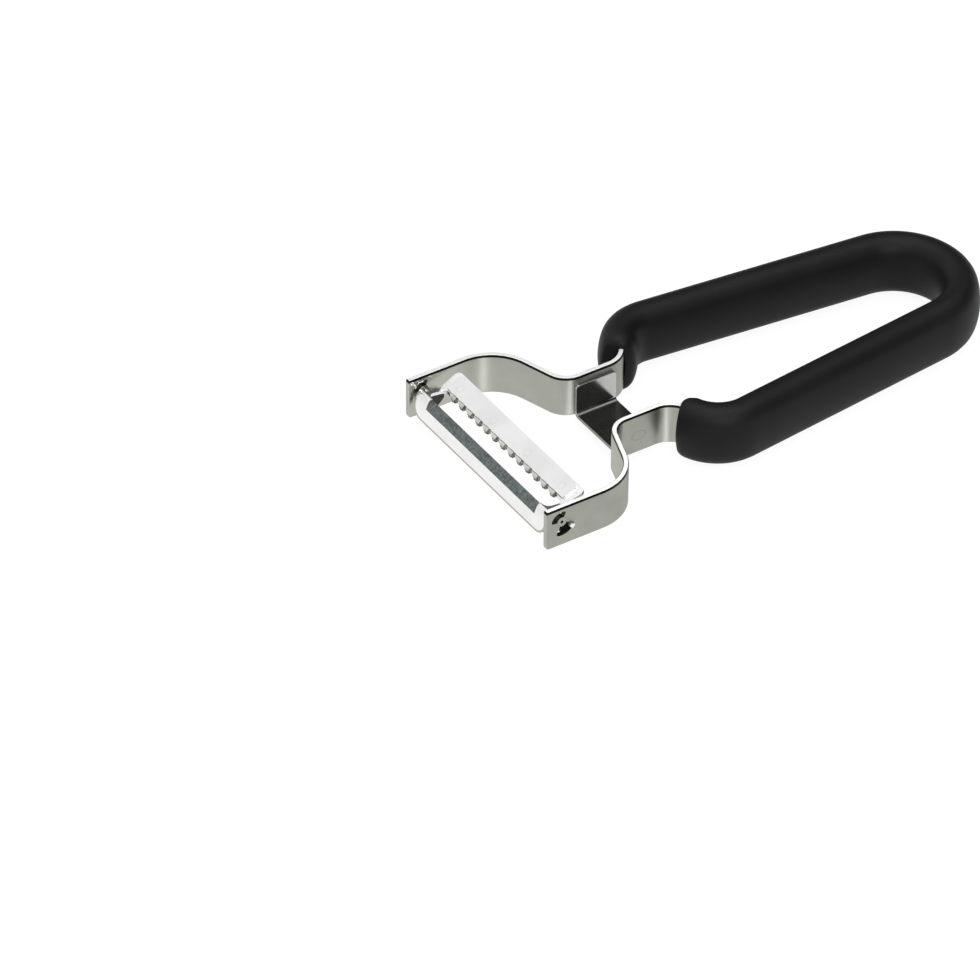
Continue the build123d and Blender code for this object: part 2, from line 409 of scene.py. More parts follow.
def loop_corners():
    """The three corners whose bends make the round end of the loop, from right to left."""
    third = (pi - 2 * leg_taper) / 3
    reach = loop_radius / cos(third / 2)
    corners = []
    for index in range(3):
        turn = leg_taper + third * (index + 0.5)
        corners.append((reach * cos(turn), loop_centre_y + reach * sin(turn)))
    return corners


def both_sides(right_half, right_bends):
    """A line at the strip's middle height: the right half, the loop's end and the left half."""
    round_end = loop_corners()
    left_half = [(-x, y) for x, y in reversed(right_half)]
    flat = right_half + round_end + left_half
    bends = right_bends + [loop_radius * bend_ease] * 3 + right_bends[::-1]
    return line_object("line", [(x, y, strip_middle) for x, y in flat], bends)


strip_steel, place = new_material("strip_steel", Anisotropic=0.9, Anisotropic_Rotation=0.25)
over_middle = (place.axis("Z") - strip_middle * 0.001) * 1000
painted_reflection_band = over_middle.between(*painted_reflection_over)
polish_and_painted_highlight = over_middle.between(*edge_highlight_over)
from_tips = (place.axis("Y") * 1000).between(*[shoulder_corner[1] - before for before in bright_tip_before])
in_arm = (abs(place.axis("X")) * 1000).between(*[arm_inner + within for within in inner_face_within])
inner_tip = (1 - from_tips) * (1 - in_arm)
brushed = place.vector("MULTIPLY", {0: place, 1: (brushed_long, brushed_long, 1.0)})
grain_sockets = {"Vector": brushed, "Scale": 5200.0, "Detail": 3.0, "Roughness": 0.6}
grain = place.add("ShaderNodeTexNoise", (), grain_sockets)
satin = place.noise(90.0, 2.0).between(0.3, 0.7).blend(satin_grey, satin_light)
weld_middle = (0.0, (tips_y + weld_from_tips) * 0.001, weld_level * 0.001)
weld_scale = (0.0, 1000 / weld_half_long, 1000 / weld_half_high)
from_weld = place.vector("SUBTRACT", {0: place, 1: weld_middle})
from_weld = place.vector("MULTIPLY", {0: from_weld, 1: weld_scale})
weld_rim = place.vector("LENGTH", {0: from_weld}, 1)
welded = weld_rim.between(*weld_inner_fade) * (1 - weld_rim.between(*weld_outer_fade))
satin = (weld_shade * welded).blend(satin, weld_and_painted_reflection_dark)
# The rounded top edge gets the dark band of painted reflection
with_painted_reflection = painted_reflection_band.blend(satin, weld_and_painted_reflection_dark)
# The polished top edge is smoother, and a white highlight is painted on it by making it mostly non-metallic
# white
feed(
    strip_steel,
    Base_Color=polish_and_painted_highlight.blend(with_painted_reflection, painted_highlight_white),
    Roughness=(1 - polish_and_painted_highlight) * (0.36 - 0.18 * inner_tip + 0.14 * grain) + polish_and_painted_highlight * 0.4,
    Metallic=1 - 0.7 * polish_and_painted_highlight,
    Normal=(grain * (1 - polish_and_painted_highlight)).bump(0.12, 0.00002),
)
# Painted shade, with a fine grain, on surfaces that sit in shade inside the openings
punched_steel, place = new_material("punched_steel", Metallic=1.0)
grain = place.noise(2600.0, 3.0)
feed(
    punched_steel,
    Base_Color=grain.between(0.3, 0.7).blend(painted_shade_deep, painted_shade_pale),
    Roughness=0.4 + 0.2 * grain,
)

strip_half = [(arm_middle, tips_y + tip_long), shoulder_corner, neck_corner, flare_corner, leg_corner]
strip_line = both_sides(strip_half, [0, shoulder_radius, neck_radius, flare_radius, leg_radius])
half_high = strip_height / 2
half_thick = strip_thick / 2
strip_corners = [
    (half_high, half_thick), (-half_high, half_thick), (-half_high, -half_thick), (half_high, -half_thick),
]
strip_outline = rounded_outline(strip_corners, [strip_edge_round] * 4, round_steps)
strip_section = line_object("section", [(x, y, 0) for x, y in strip_outline], cyclic=True)
strip_mesh = grown(bent_sweep, {
    "Path": strip_line, "Section": strip_section, "Side": (0, 0, 1),
    "Bend steps": bend_steps, "Surface": strip_steel,
})


def arm_tip(side):
    """The rounded end of an arm, in layers across its thickness, open where the strip goes on."""
    back_y = tips_y + tip_long
    low = (tips_y + tip_corner_low, strip_floor + tip_corner_low)
    high = (tips_y + tip_corner_high, strip_floor + strip_height - tip_corner_high)
    layers = []
    for face in (1, -1):
        for step in range(round_steps + 1):
            turn = pi / 2 * (step if face == 1 else round_steps - step) / round_steps
            x = arm_middle + face * (strip_thick / 2 - strip_edge_round * (1 - cos(turn)))
            inset = strip_edge_round * (1 - sin(turn))
            end_inset = tip_end_round * (1 - sin(turn))
            outline = [(back_y, strip_floor + inset)]
            for centre, corner, first in ((low, tip_corner_low, 1.5 * pi), (high, tip_corner_high, pi)):
                for y, z in arc((0, 0), 1, first, first - pi / 2):
                    outline.append((centre[0] + y * (corner - end_inset), centre[1] + z * (corner - inset)))
            outline.append((back_y, strip_floor + strip_height - inset))
            layers.append([(side * x, y, z) for y, z in outline])
    shape = bmesh.new()
    rings = [[shape.verts.new(point) for point in layer] for layer in layers]
    shape.faces.new(rings[0])
    shape.faces.new(rings[-1])
    for ring, after in zip(rings, rings[1:]):
        for index in range(len(ring) - 1):
            shape.faces.new((ring[index], ring[index + 1], after[index + 1], after[index]))
    mesh = bpy.data.meshes.new("tip")
    shape.to_mesh(mesh)
    shape.free()
    return mesh


def joined(meshes):
    """Several meshes as one, without merging them."""
    shape = bmesh.new()
    for mesh in meshes:
        shape.from_mesh(mesh)
    result = bpy.data.meshes.new("joined")
    shape.to_mesh(result)
    shape.free()
    return result


strip_mesh = close_ends(joined([strip_mesh, arm_tip(1), arm_tip(-1)]))

along_x = Matrix(((0, 0, 1), (1, 0, 0), (0, 1, 0)))


def fan_outline(radius, start, sweep, corner):
    """Slice of a disc on the pivot, drawn as (y, z), with rounded outer corners."""
    centre = Vector((pivot_y, pivot_z))
    lean = asin(corner / (radius - corner))
    first = start + lean
    last = start + sweep - lean
    reach = radius - corner
    near = centre + Vector((cos(first), sin(first))) * reach
    far = centre + Vector((cos(last), sin(last))) * reach
    outline = [tuple(centre)]
    outline += arc(near, corner, start - pi / 2, first, 6)
    outline += arc(centre, radius, first, last, 20)[1:-1]
    outline += arc(far, corner, last, start + sweep + pi / 2, 6)
    return outline


def round_about_pivot(radius, sides):
    """Outline of a round bar or hole on the pivot."""
    return arc((pivot_y, pivot_z), radius, 0, 2 * pi * (sides - 1) / sides, sides - 1)


reach = arm_outer + overrun
tools = [prism(round_about_pivot(pivot_hole, round_sides), -reach, reach, along_x)]
for window in (upper_window, lower_window):
    tools.append(prism(fan_outline(*window, window_corner), -reach, reach, along_x))
strip_mesh = combined(strip_mesh, tools, "DIFFERENCE")
strip = make_piece("strip_frame", strip_mesh, broken_edge, strip_steel)
strip.data.materials.append(punched_steel)
# The walls of the pivot hole and of the windows near the pivot get the painted shade
for face in strip.data.polygons:
    from_pivot = hypot(face.center.y * 1000 - pivot_y, face.center.z * 1000 - pivot_z)
    across_wall = abs(face.normal.x) < 0.3 and abs(face.center.x) > arm_inner * 0.001
    if from_pivot < painted_shade_reach and across_wall:
        face.material_index = 1
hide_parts("frame_band")
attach(strip, "frame")


# Grip. A soft black sleeve moulded over the loop of the strip, oval in section, with a fine matt
# skin and well rounded mouths, where a narrow groove is left round the steel.
grip_wide = 10.4
grip_high = 17.4
grip_end_arc = 4.7
mouth_turn = radians(57)
mouth_long = 3.4
mouth_draw_high = 2.5
mouth_draw_wide = 4.0
mouth_rings = 14
mouth_gap = 0.12
mouth_groove = 0.7
grip_steps = 28
leg_ease = 0.97
rubber_black = (0.0045, 0.0048, 0.0046, 1)
rubber_worn = (0.0060, 0.0064, 0.0062, 1)

soft_grip, place = new_material("soft_grip", Specular_IOR_Level=0.16)
grain = place.noise(2600.0, 3.0)
feed(
    soft_grip,
    Base_Color=place.noise(70.0, 3.0).between(0.35, 0.7).blend(rubber_black, rubber_worn),
    Roughness=0.46 + 0.12 * grain,
    Normal=grain.bump(0.35, 0.00004),
)


def grip_section():
    """Oval of two wide and two small arcs, as (height, width) points."""
    half_wide = grip_wide / 2
    rise = grip_high / 2 - grip_end_arc
    side_arc = (half_wide**2 + rise**2 - grip_end_arc**2) / (2 * (half_wide - grip_end_arc))
    join = atan2(rise, side_arc - half_wide)
    outline = []
    for flip, half_turn in ((1, 0), (-1, pi)):
        join_turn = pi / 2 - join + half_turn
        small = arc((flip * rise, 0), grip_end_arc, join - pi / 2 + half_turn, join_turn, 12)
        wide = arc((0, -flip * (side_arc - half_wide)), side_arc, join_turn, pi / 2 + join + half_turn, 12)
        outline += small[:-1] + wide[:-1]
    return outline


flare_turn = atan2(leg_corner[0] - flare_corner[0], leg_corner[1] - flare_corner[1])
flare_start = flare_corner[1] - flare_radius * tan(flare_turn / 2)


def along_grip(distance):
    """Place and direction on the strip's line at a distance in from the right mouth."""
    flare_left = (flare_turn - mouth_turn) * flare_radius
    turn = mouth_turn + min(distance, flare_left) / flare_radius
    x = flare_corner[0] + flare_radius * (1 - cos(turn))
    place = Vector((x, flare_start + flare_radius * sin(turn)))
    on_leg = max(0, distance - flare_left) / leg_radius
    place += leg_radius * Vector((cos(turn - on_leg) - cos(turn), sin(turn) - sin(turn - on_leg)))
    return place, Vector((sin(turn - on_leg), cos(turn - on_leg)))


def mouth_skin(side):
    """One end of the sleeve: rings that draw in round to the steel, then a narrow groove."""
    outline = grip_section()
    rings = []
    for step in range(mouth_rings + 2):
        turn = pi / 2 * min(step, mouth_rings) / mouth_rings
        distance = mouth_long * (1 - sin(turn))
        if step > mouth_rings:
            distance = mouth_groove
        centre, ahead = along_grip(distance)
        ring = []
        for index, (high, wide) in enumerate(outline):
            before = outline[index - 1]
            after = outline[(index + 1) % len(outline)]
            normal = Vector((after[1] - before[1], before[0] - after[0])).normalized()
            high -= mouth_draw_high * (1 - cos(turn)) * normal.x
            wide -= mouth_draw_wide * (1 - cos(turn)) * normal.y
            if step > mouth_rings:
                high = max(-half_high - mouth_gap, min(half_high + mouth_gap, high))
                wide = max(-half_thick - mouth_gap, min(half_thick + mouth_gap, wide))
            across = centre + wide * Vector((ahead.y, -ahead.x))
            ring.append((side * across.x, across.y, strip_middle + high))
        rings.append(ring)
    shape = bmesh.new()
    rings = [[shape.verts.new(point) for point in ring] for ring in rings]
    for ring, after in zip(rings, rings[1:]):
        for index in range(len(ring)):
            shape.faces.new((ring[index - 1], ring[index], after[index], after[index - 1]))
    shape.faces.new(rings[-1])
    mesh = bpy.data.meshes.new("mouth")
    shape.to_mesh(mesh)
    shape.free()
    return mesh


seam, seam_ahead = along_grip(mouth_long)
leg_left = atan2(*seam_ahead) + leg_taper
seam_corner = seam + seam_ahead * (leg_radius * tan(leg_left / 2))
grip_mesh = grown(bent_sweep, {
    "Path": both_sides([tuple(seam), tuple(seam_corner)], [0, leg_radius * leg_ease]),
    "Section": line_object("section", [(x, y, 0) for x, y in grip_section()], cyclic=True),
    "Side": (0, 0, 1), "Bend steps": grip_steps, "Surface": soft_grip,
})
grip_mesh = close_ends(joined([grip_mesh, mouth_skin(1), mouth_skin(-1)]))
grip = make_piece("soft_loop_grip", grip_mesh, 0, soft_grip, 50)
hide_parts("handle_grip")
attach(grip, "frame")


# Brace. A channel bent from 1 mm polished sheet, spot welded between the walls of the neck, its
# web flush with the strip's lower edge. Its upper side is left bare of any words.
brace_thick = 1.0
brace_from_tips = 36.6
brace_long = 12.3
brace_middle_y = tips_y + brace_from_tips + brace_long / 2
brace_tall = 9.9
brace_bend = 2.0
brace_corner = 1.0
brace_steps = 12
brace_half = neck_corner[0] - strip_thick / 2
web_shade_over = (0.1, 0.5)
corner_steps = 8
exact = 0.01
sheet_grey = (0.43, 0.43, 0.415, 1)
sheet_light = (0.49, 0.49, 0.475, 1)
# Painted dark reflection on the brace's web
web_painted_dark = (0.23, 0.23, 0.21, 1)

brace_steel, place = new_material("brace_steel", Metallic=1.0)
grain = place.noise(3000.0, 3.0, (1.0, 0.04, 1.0))
over_web = place.axis("Z") * 1000 - (strip_floor + brace_thick)
# Painted dark reflection: the web is darkened, fading out a little way up the flanges
painted_web_mask = 1 - over_web.between(*web_shade_over)
sheet = place.noise(160.0, 3.0).between(0.3, 0.7).blend(sheet_grey, sheet_light)
feed(
    brace_steel,
    Base_Color=painted_web_mask.blend(sheet, web_painted_dark),
    Roughness=0.13 + 0.06 * grain + 0.05 * painted_web_mask,
    Normal=grain.bump(0.1, 0.00002),
)

brace_top = strip_floor + brace_tall
brace_points = [
    (-brace_half, brace_middle_y, brace_top), (-brace_half, brace_middle_y, strip_floor),
    (brace_half, brace_middle_y, strip_floor), (brace_half, brace_middle_y, brace_top),
]
brace_line = line_object("line", brace_points, [0, brace_bend, brace_bend, 0])


def sheet_section(half_wide, thick):
    """Square-edged section of a sheet, its lower face on the line that it is swept along."""
    corners = [(-half_wide, 0, 0), (half_wide, 0, 0), (half_wide, thick, 0), (-half_wide, thick, 0)]
    return line_object("section", corners, cyclic=True)


brace_mesh = close_ends(grown(bent_sweep, {
    "Path": brace_line, "Section": sheet_section(brace_long / 2, brace_thick),
    "Side": (0, 1, 0), "Bend steps": brace_steps, "Surface": brace_steel,
}))


def round_edges(mesh, chosen, radius):
    """Round the chosen edges of a mesh, such as the corners of a sheet."""
    shape = bmesh.new()
    shape.from_mesh(mesh)
    edges = [edge for edge in shape.edges if chosen(edge)]
    bmesh.ops.bevel(shape, geom=edges, offset=radius, segments=corner_steps, profile=0.5, affect="EDGES")
    shape.to_mesh(mesh)
    shape.free()
    return mesh


def at_brace_top(edge):
    """Whether an edge crosses the sheet at the top of the brace, at one of its corners."""
    ends = [vertex.co for vertex in edge.verts]
    return min(end.z for end in ends) > brace_top - exact and abs(ends[0].y - ends[1].y) < exact


brace_mesh = round_edges(brace_mesh, at_brace_top, brace_corner)
brace = make_piece("neck_channel", brace_mesh, broken_edge, brace_steel)
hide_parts("neck_brace")
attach(brace, "frame")


# Swivel blade. One stamping of 0.9 mm steel: a guard in front, a ground bevel that leaves the
# cutting edge on the slot, a rear bar, and at each end an ear with a rolled trunnion and a stop
# tongue, which turn in the arm's bow tie opening.
sheet_thick = 0.9
guard_clearance = 0.95
waist_inset = 1.7
rear_flare = 0.7
flare_past = 0.16
slot_inset = 1.3
edge_inset = 2.2
edge_ahead = 1.34
slot_behind_pivot = 3.9
guard_half = arm_inner - guard_clearance
waist_half = guard_half - waist_inset
rear_half = waist_half + rear_flare
slot_half = waist_half - slot_inset
slot_corner = 1.8
slot_front = pivot_y - edge_ahead
slot_back = pivot_y + slot_behind_pivot
edge_half = slot_half - edge_inset
guard_corner = 3.6
rear_slope = radians(21.4)
plate_from_saddle = 0.62
plate_deep = 6.15
rear_past_plate = 0.35
rear_run = plate_from_saddle + plate_deep + rear_past_plate
foot = (pivot_y - 4.08, pivot_z - 5.07)
brow = (pivot_y - 3.26, pivot_z - 0.64)
crest = (pivot_y - 2.1, pivot_z + 1.75)
saddle = (pivot_y + 2.8, pivot_z + 1.07)
rear = (saddle[0] + rear_run * cos(rear_slope), saddle[1] + rear_run * sin(rear_slope))
cutting_edge = (pivot_y - edge_ahead, pivot_z + 1.3)
grind_from = (brow[0] - 0.07, brow[1] - 0.42)
brow_bend = 9.0
crest_bend = 1.3
saddle_bend = 2.5
blade_steps = 14
cut_high = 30
grind_deep = 2
picked_within = 0.05
guard_front_over = (0.9, 1.1)
# A beige band along the guard's rounded lower rim: its width and fades
rim_band_wide = 0.55
rim_band_fade = (0.15, 0.1)
shaded_round_pivot = (2.4, 2.55)
shaded_ahead_of_pivot = 1.6
steel_bright = (0.80, 0.80, 0.79, 1)
steel_brightest = (0.87, 0.87, 0.86, 1)
# Ground bevel: grinding streaks, on a base colour darkened as a painted dark reflection
ground_painted_dark = (0.085, 0.10, 0.098, 1)
ground_painted_light = (0.20, 0.225, 0.22, 1)
rim_beige = (0.42, 0.40, 0.36, 1)
# Painted shade on the trunnion where it passes through the arm
trunnion_shade_dark = (0.03, 0.029, 0.025, 1)
trunnion_radius = 1.4
trunnion_bore = 0.45
rear_corner = 1.6
ear_ahead = 1.5
ear_behind = 2.3
ear_below = 3.9
ear_corner = 1.2
stop_radius = 6.4
stop_sweep = radians(56)
stop_clearance = 0.45
tongue_clearance = radians(1.2)
stop_end = lower_window[1] + lower_window[2] - tongue_clearance
stop_from = arm_inner - stop_clearance - sheet_thick
tongue_inner = 2.6
tongue_outer = 3.9
tongue_sweep = radians(20)
tongue_proud = 0.8
trunnion_proud = 0.05


def reach_of(across, above):
    """Length of a step with these two legs, as a socket."""
    squares = across * across + above * above
    return squares.math("SQRT", squares)


blade_steel, place = new_material("blade_steel", Metallic=1.0)
grain = place.noise(3500.0, 3.0, (0.05, 1.0, 1.0))
bright = place.noise(120.0, 3.0).between(0.3, 0.7).blend(steel_bright, steel_brightest)
outward = abs(place.axis("X")) * 1000
along = place.axis("Y") * 1000
height = place.axis("Z") * 1000
past_side = outward.math("MAXIMUM", outward - (guard_half - guard_corner), 0.0)
past_foot = height.math("MAXIMUM", foot[1] + guard_corner - height, 0.0)
to_rim = guard_corner - reach_of(past_side, past_foot)
in_front = 1 - along.between(*[foot[0] + past for past in guard_front_over])
# Beige band along the front of the guard's rounded lower rim
rim_band = (1 - to_rim.between(rim_band_wide - rim_band_fade[0], rim_band_wide + rim_band_fade[1])) * in_front
from_axis = reach_of(along - pivot_y, height - pivot_z)
# Painted shade: the trunnion is darkened within the arm, round the pivot
pivot_painted_shade = outward.between(arm_inner - 0.1, arm_inner) * (1 - from_axis.between(*shaded_round_pivot))
feed(
    blade_steel,
    Base_Color=pivot_painted_shade.blend(rim_band.blend(bright, rim_beige), trunnion_shade_dark),
    Roughness=0.22 + 0.12 * grain,
    Normal=grain.bump(0.1, 0.00002),
)

# Ground bevel: the streaks are real grinding, and the very dark base is a painted dark reflection
ground_steel, place = new_material("ground_steel", Metallic=1.0)
grain = place.noise(2600.0, 4.0, (1.0, 0.12, 0.12))
streaks = (0.5 * grain + 0.5 * place.noise(1500.0, 2.0)).between(0.36, 0.64)
feed(
    ground_steel,
    Base_Color=streaks.blend(ground_painted_dark, ground_painted_light),
    Roughness=0.34 + 0.2 * grain,
    Normal=grain.bump(0.3, 0.00003),
)

blade_line = line_object(
    "line", [(0, *point) for point in (foot, brow, crest, saddle, rear)],
    [0, brow_bend, crest_bend, saddle_bend, 0],
)
blade_mesh = close_ends(grown(bent_sweep, {
    "Path": blade_line, "Section": sheet_section(guard_half, sheet_thick),
    "Side": (1, 0, 0), "Bend steps": blade_steps, "Surface": blade_steel,
}))


def through_sheet(edge):
    """Whether an edge runs from one face of the blade's sheet to the other."""
    return abs(edge.calc_length() - sheet_thick) < picked_within


def at_guard_foot(edge):
    """Whether an edge is one of the two lower corners of the guard."""
    ends = [vertex.co for vertex in edge.verts]
    low = max(end.z for end in ends) < foot[1] + 0.3
    return low and abs(ends[0].x - ends[1].x) < exact and through_sheet(edge)


blade_mesh = round_edges(blade_mesh, at_guard_foot, guard_corner)
upright = Matrix.Identity(3)
behind = crest[0] + crest_bend
far_y = rear[0] + 2 * overrun
beside = guard_half + overrun
waist = [
    (waist_half, behind), (beside, behind), (beside, far_y), (rear_half + flare_past, far_y),
    (waist_half, saddle[0]),
]
other_waist = [(-x, y) for x, y in waist]
slot_corners = [
    (slot_half, slot_front), (slot_half, slot_back), (-slot_half, slot_back), (-slot_half, slot_front),
]
slot = rounded_outline(slot_corners, [slot_corner] * 4)
bevel_ahead = Vector((cutting_edge[0] - grind_from[0], cutting_edge[1] - grind_from[1])).normalized()
bevel_out = Vector((-bevel_ahead[1], bevel_ahead[0]))
ground_low = (grind_from[0] - bevel_ahead[0], grind_from[1] - bevel_ahead[1])
ground_high = (cutting_edge[0] + bevel_ahead[0], cutting_edge[1] + bevel_ahead[1])
bevel_side = [
    ground_low,
    ground_high,
    (ground_high[0] + grind_deep * bevel_out[0], ground_high[1] + grind_deep * bevel_out[1]),
    (ground_low[0] + grind_deep * bevel_out[0], ground_low[1] + grind_deep * bevel_out[1]),
]
tools = [prism(outline, 0, cut_high, upright) for outline in (waist, other_waist, slot)]
tools.append(prism(bevel_side, -edge_half, edge_half, along_x))
blade_mesh = combined(blade_mesh, tools, "DIFFERENCE")


def at_rear_corner(edge):
    """Whether an edge is one of the two outer corners of the rear bar."""
    ends = [vertex.co for vertex in edge.verts]
    wide = min(abs(end.x) for end in ends) > rear_half - 0.2
    last = min(end.y for end in ends) > rear[0] - 0.1
    return wide and last and through_sheet(edge)


blade_mesh = round_edges(blade_mesh, at_rear_corner, rear_corner)
ear_low = pivot_z - ear_below
ear_corners = [(pivot_y - ear_ahead, ear_low), (pivot_y + ear_behind, ear_low)]
ear_corners += [(pivot_y + ear_behind, saddle[1]), (pivot_y - ear_ahead, saddle[1])]
ear = rounded_outline(ear_corners, [ear_corner, ear_corner, 0, 0])
stop = fan_outline(stop_radius, stop_end - stop_sweep, stop_sweep, ear_corner)
tongue = arc((pivot_y, pivot_z), tongue_outer, stop_end - tongue_sweep, stop_end)
tongue += arc((pivot_y, pivot_z), tongue_inner, stop_end, stop_end - tongue_sweep)
ear_from = waist_half - sheet_thick
ends = []
bores = []
for side in (-1, 1):
    for outline, root, tip in (
        (round_about_pivot(trunnion_radius, round_sides), ear_from, arm_outer + trunnion_proud),
        (ear, ear_from, waist_half),
        (stop, stop_from, stop_from + sheet_thick),
        (tongue, stop_from, arm_outer + tongue_proud),
    ):
        ends.append(prism(outline, *sorted((side * root, side * tip)), along_x))
    bore = round_about_pivot(trunnion_bore, round_sides // 2)
    span = sorted((side * (waist_half - 2 * overrun), side * (arm_outer + overrun)))
    bores.append(prism(bore, *span, along_x))
blade_mesh = combined(blade_mesh, ends, "UNION")
blade_mesh = combined(blade_mesh, bores, "DIFFERENCE")
blade = make_piece("blade_carrier", blade_mesh, broken_edge, blade_steel)
for steel in (ground_steel, punched_steel, strip_steel):
    blade.data.materials.append(steel)
ground_normal = Vector((0, bevel_out[0], bevel_out[1]))
for face in blade.data.polygons:
    on_bevel = face.center.y < (cutting_edge[0] + 0.2) * 0.001 and abs(face.center.x) < edge_half * 0.001
    if on_bevel and face.normal.dot(ground_normal) > 0.999:
        face.material_index = 1
    from_pivot = hypot(face.center.y * 1000 - pivot_y, face.center.z * 1000 - pivot_z)
    out = abs(face.center.x) * 1000
    facing_out = abs(face.normal.x) > 0.5
    within_arm = ear_from - 0.1 < out < stop_from + sheet_thick + 0.1
    under = face.center.z * 1000 < saddle[1] - sheet_thick
    behind_guard = face.center.y * 1000 > pivot_y - shaded_ahead_of_pivot
    # Painted shade on the ear's undersides and on the end faces that show through the windows
    if from_pivot < stop_radius + 0.1 and within_arm and under and behind_guard:
        face.material_index = 2
    if facing_out and waist_half + 0.1 < out < arm_inner and from_pivot < 5:
        face.material_index = 2
    if facing_out and out > arm_inner and from_pivot < trunnion_radius:
        face.material_index = 3
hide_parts("swivel_blade")
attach(blade, "blade")


# Toothed plate. A flat strip of 0.6 mm steel on the rear bar of the blade, held by four spot
# welds. Its front edge is cut and bent down into thirteen leaning teeth.
plate_thick = 0.6
plate_inset = 2.3
plate_half = rear_half - plate_inset
plate_rear_corner = 1.6
plate_front_corner = 0.8
tooth_count = 13
tooth_pitch = 3.84

# Rows down a tooth: how far past the fold, then its left edge, ridge and right edge across
tooth_rows = (
    (0.0, -1.95, 0.85, 1.89), (0.5, -1.45, 0.7, 1.75), (1.05, -0.9, 0.5, 1.5),
    (1.2, -0.65, 0.5, 1.35), (1.32, -0.5, 0.5, 1.25), (1.62, 0.0, 0.55, 1.0),
)
tooth_bend = radians(42.3)
tooth_skew = radians(5.0)
# How far down a tooth its front facet is left without painted shade, and a thin line further down that is
# left without it too
tooth_bright = 1.15
tooth_line = (1.35, 1.45)
facet_turned = 0.08
facet_lean = (0.6, 0.7)
tooth_sunk = 0.22
fold_in = 0.72
fold_radius = 0.35
fold_steps = 6
fold_lap = 0.4
fold_below = 0.004
weld_places = (-23.7, -7.9, 7.9, 23.7)
weld_radius = 1.0
weld_along = plate_from_saddle + 0.5 * plate_deep
weld_y = saddle[0] + weld_along * cos(rear_slope) - plate_thick * sin(rear_slope)
ring_shade = 0.13
ring_inner_fade = 0.15
ring_outer = (0.1, 0.25)
plate_bright = (0.74, 0.74, 0.74, 1)
plate_brightest = (0.80, 0.80, 0.80, 1)
ring_grey = (0.25, 0.25, 0.25, 1)
# Painted shade on the teeth's flanks and tips
tooth_shade_dark = (0.06, 0.06, 0.043, 1)
tooth_shade_pale = (0.38, 0.37, 0.30, 1)


def weld_ring(place, weld_x):
    """Mask of the faint ring that one spot weld leaves, as seen along the sloping bar."""
    weld = (weld_x * 0.001, weld_y * 0.001, 0.0)
    away = place.vector("SUBTRACT", {0: place, 1: weld})
    away = place.vector("MULTIPLY", {0: away, 1: (1000, 1000 / cos(rear_slope), 0)})
    rim = place.vector("LENGTH", {0: away}, 1)
    outside = rim.between(*[weld_radius + past for past in ring_outer])
    return rim.between(weld_radius - ring_inner_fade, weld_radius) * (1 - outside)


plate_steel, place = new_material("plate_steel", Metallic=1.0)
grain = place.noise(3500.0, 3.0, (0.05, 1.0, 1.0))
bright = place.noise(100.0, 3.0).between(0.3, 0.7).blend(plate_bright, plate_brightest)
ringed = sum(weld_ring(place, weld_x) for weld_x in weld_places)
feed(
    plate_steel,
    Base_Color=(ring_shade * ringed).blend(bright, ring_grey),
    Roughness=0.24 + 0.12 * grain,
    Normal=grain.bump(0.08, 0.00002),
)

# Painted shade: dark steel with a fine grain for the teeth's flanks and tips
cut_steel, place = new_material("cut_steel", Metallic=1.0)
grain = place.noise(2600.0, 3.0)
feed(
    cut_steel,
    Base_Color=grain.between(0.35, 0.65).blend(tooth_shade_dark, tooth_shade_pale),
    Roughness=0.4 + 0.2 * grain,
)

bed = Matrix((
    (1, 0, 0),
    (0, cos(rear_slope), -sin(rear_slope)),
    (0, sin(rear_slope), cos(rear_slope)),
))
bed_origin = Vector((0, *saddle))
front = plate_from_saddle + fold_in
fold_back = fold_radius * tan(tooth_bend / 2)
back = plate_from_saddle + plate_deep
edge = front + fold_back
plate_corners = [(-plate_half, edge), (plate_half, edge), (plate_half, back), (-plate_half, back)]
plate_rounds = [plate_front_corner, plate_front_corner, plate_rear_corner, plate_rear_corner]
plate_mesh = prism(rounded_outline(plate_corners, plate_rounds), 0, plate_thick, bed)
plate_mesh.transform(Matrix.Translation(bed_origin))


def tooth_block():
    """One leaning tooth, folded down round a small radius. Its right flank falls away."""
    first = tooth_rows[0][1:]
    stations = [(fold_back + fold_lap, -fold_below, 0.0, *first, 0.0)]
    for step in range(fold_steps + 1):
        turn = tooth_bend * step / fold_steps
        run = fold_back - fold_radius * sin(turn)
        drop = fold_radius * (1 - cos(turn)) + fold_below
        stations.append((run, -drop, turn, *first, tooth_sunk * step / fold_steps))
    fold_run, fold_height = stations[-1][:2]
    for past, *places in tooth_rows[1:]:
        run = fold_run - past * cos(tooth_bend)
        height = fold_height - past * sin(tooth_bend)
        stations.append((run, height, tooth_bend, *places, tooth_sunk))
    shape = bmesh.new()
    rings = []
    for run, height, turn, left, ridge, right, sunk in stations:
        flank = (run + sunk * sin(turn), height - sunk * cos(turn))
        thick = plate_thick - 2 * fold_below
        inner = (run + thick * sin(turn), height - thick * cos(turn))
        corners = [(left, run, height), (ridge, run, height)]
        corners += [(right, *flank), (right, *inner), (left, *inner)]
        rings.append([shape.verts.new(corner) for corner in corners])
    shape.faces.new(rings[0])
    shape.faces.new(rings[-1])
    for ring, after in zip(rings, rings[1:]):
        for index in range(len(ring)):
            other = (index + 1) % len(ring)
            shape.faces.new((ring[index], ring[other], after[other], after[index]))
    bmesh.ops.recalc_face_normals(shape, faces=shape.faces)
    mesh = bpy.data.meshes.new("tooth")
    shape.to_mesh(mesh)
    shape.free()
    mesh.transform(Matrix.Rotation(tooth_skew, 4, "Z"))
    mesh.transform(bed.to_4x4())
    return mesh


tooth = bpy.data.objects.new("tooth", tooth_block())
bpy.context.scene.collection.objects.link(tooth)


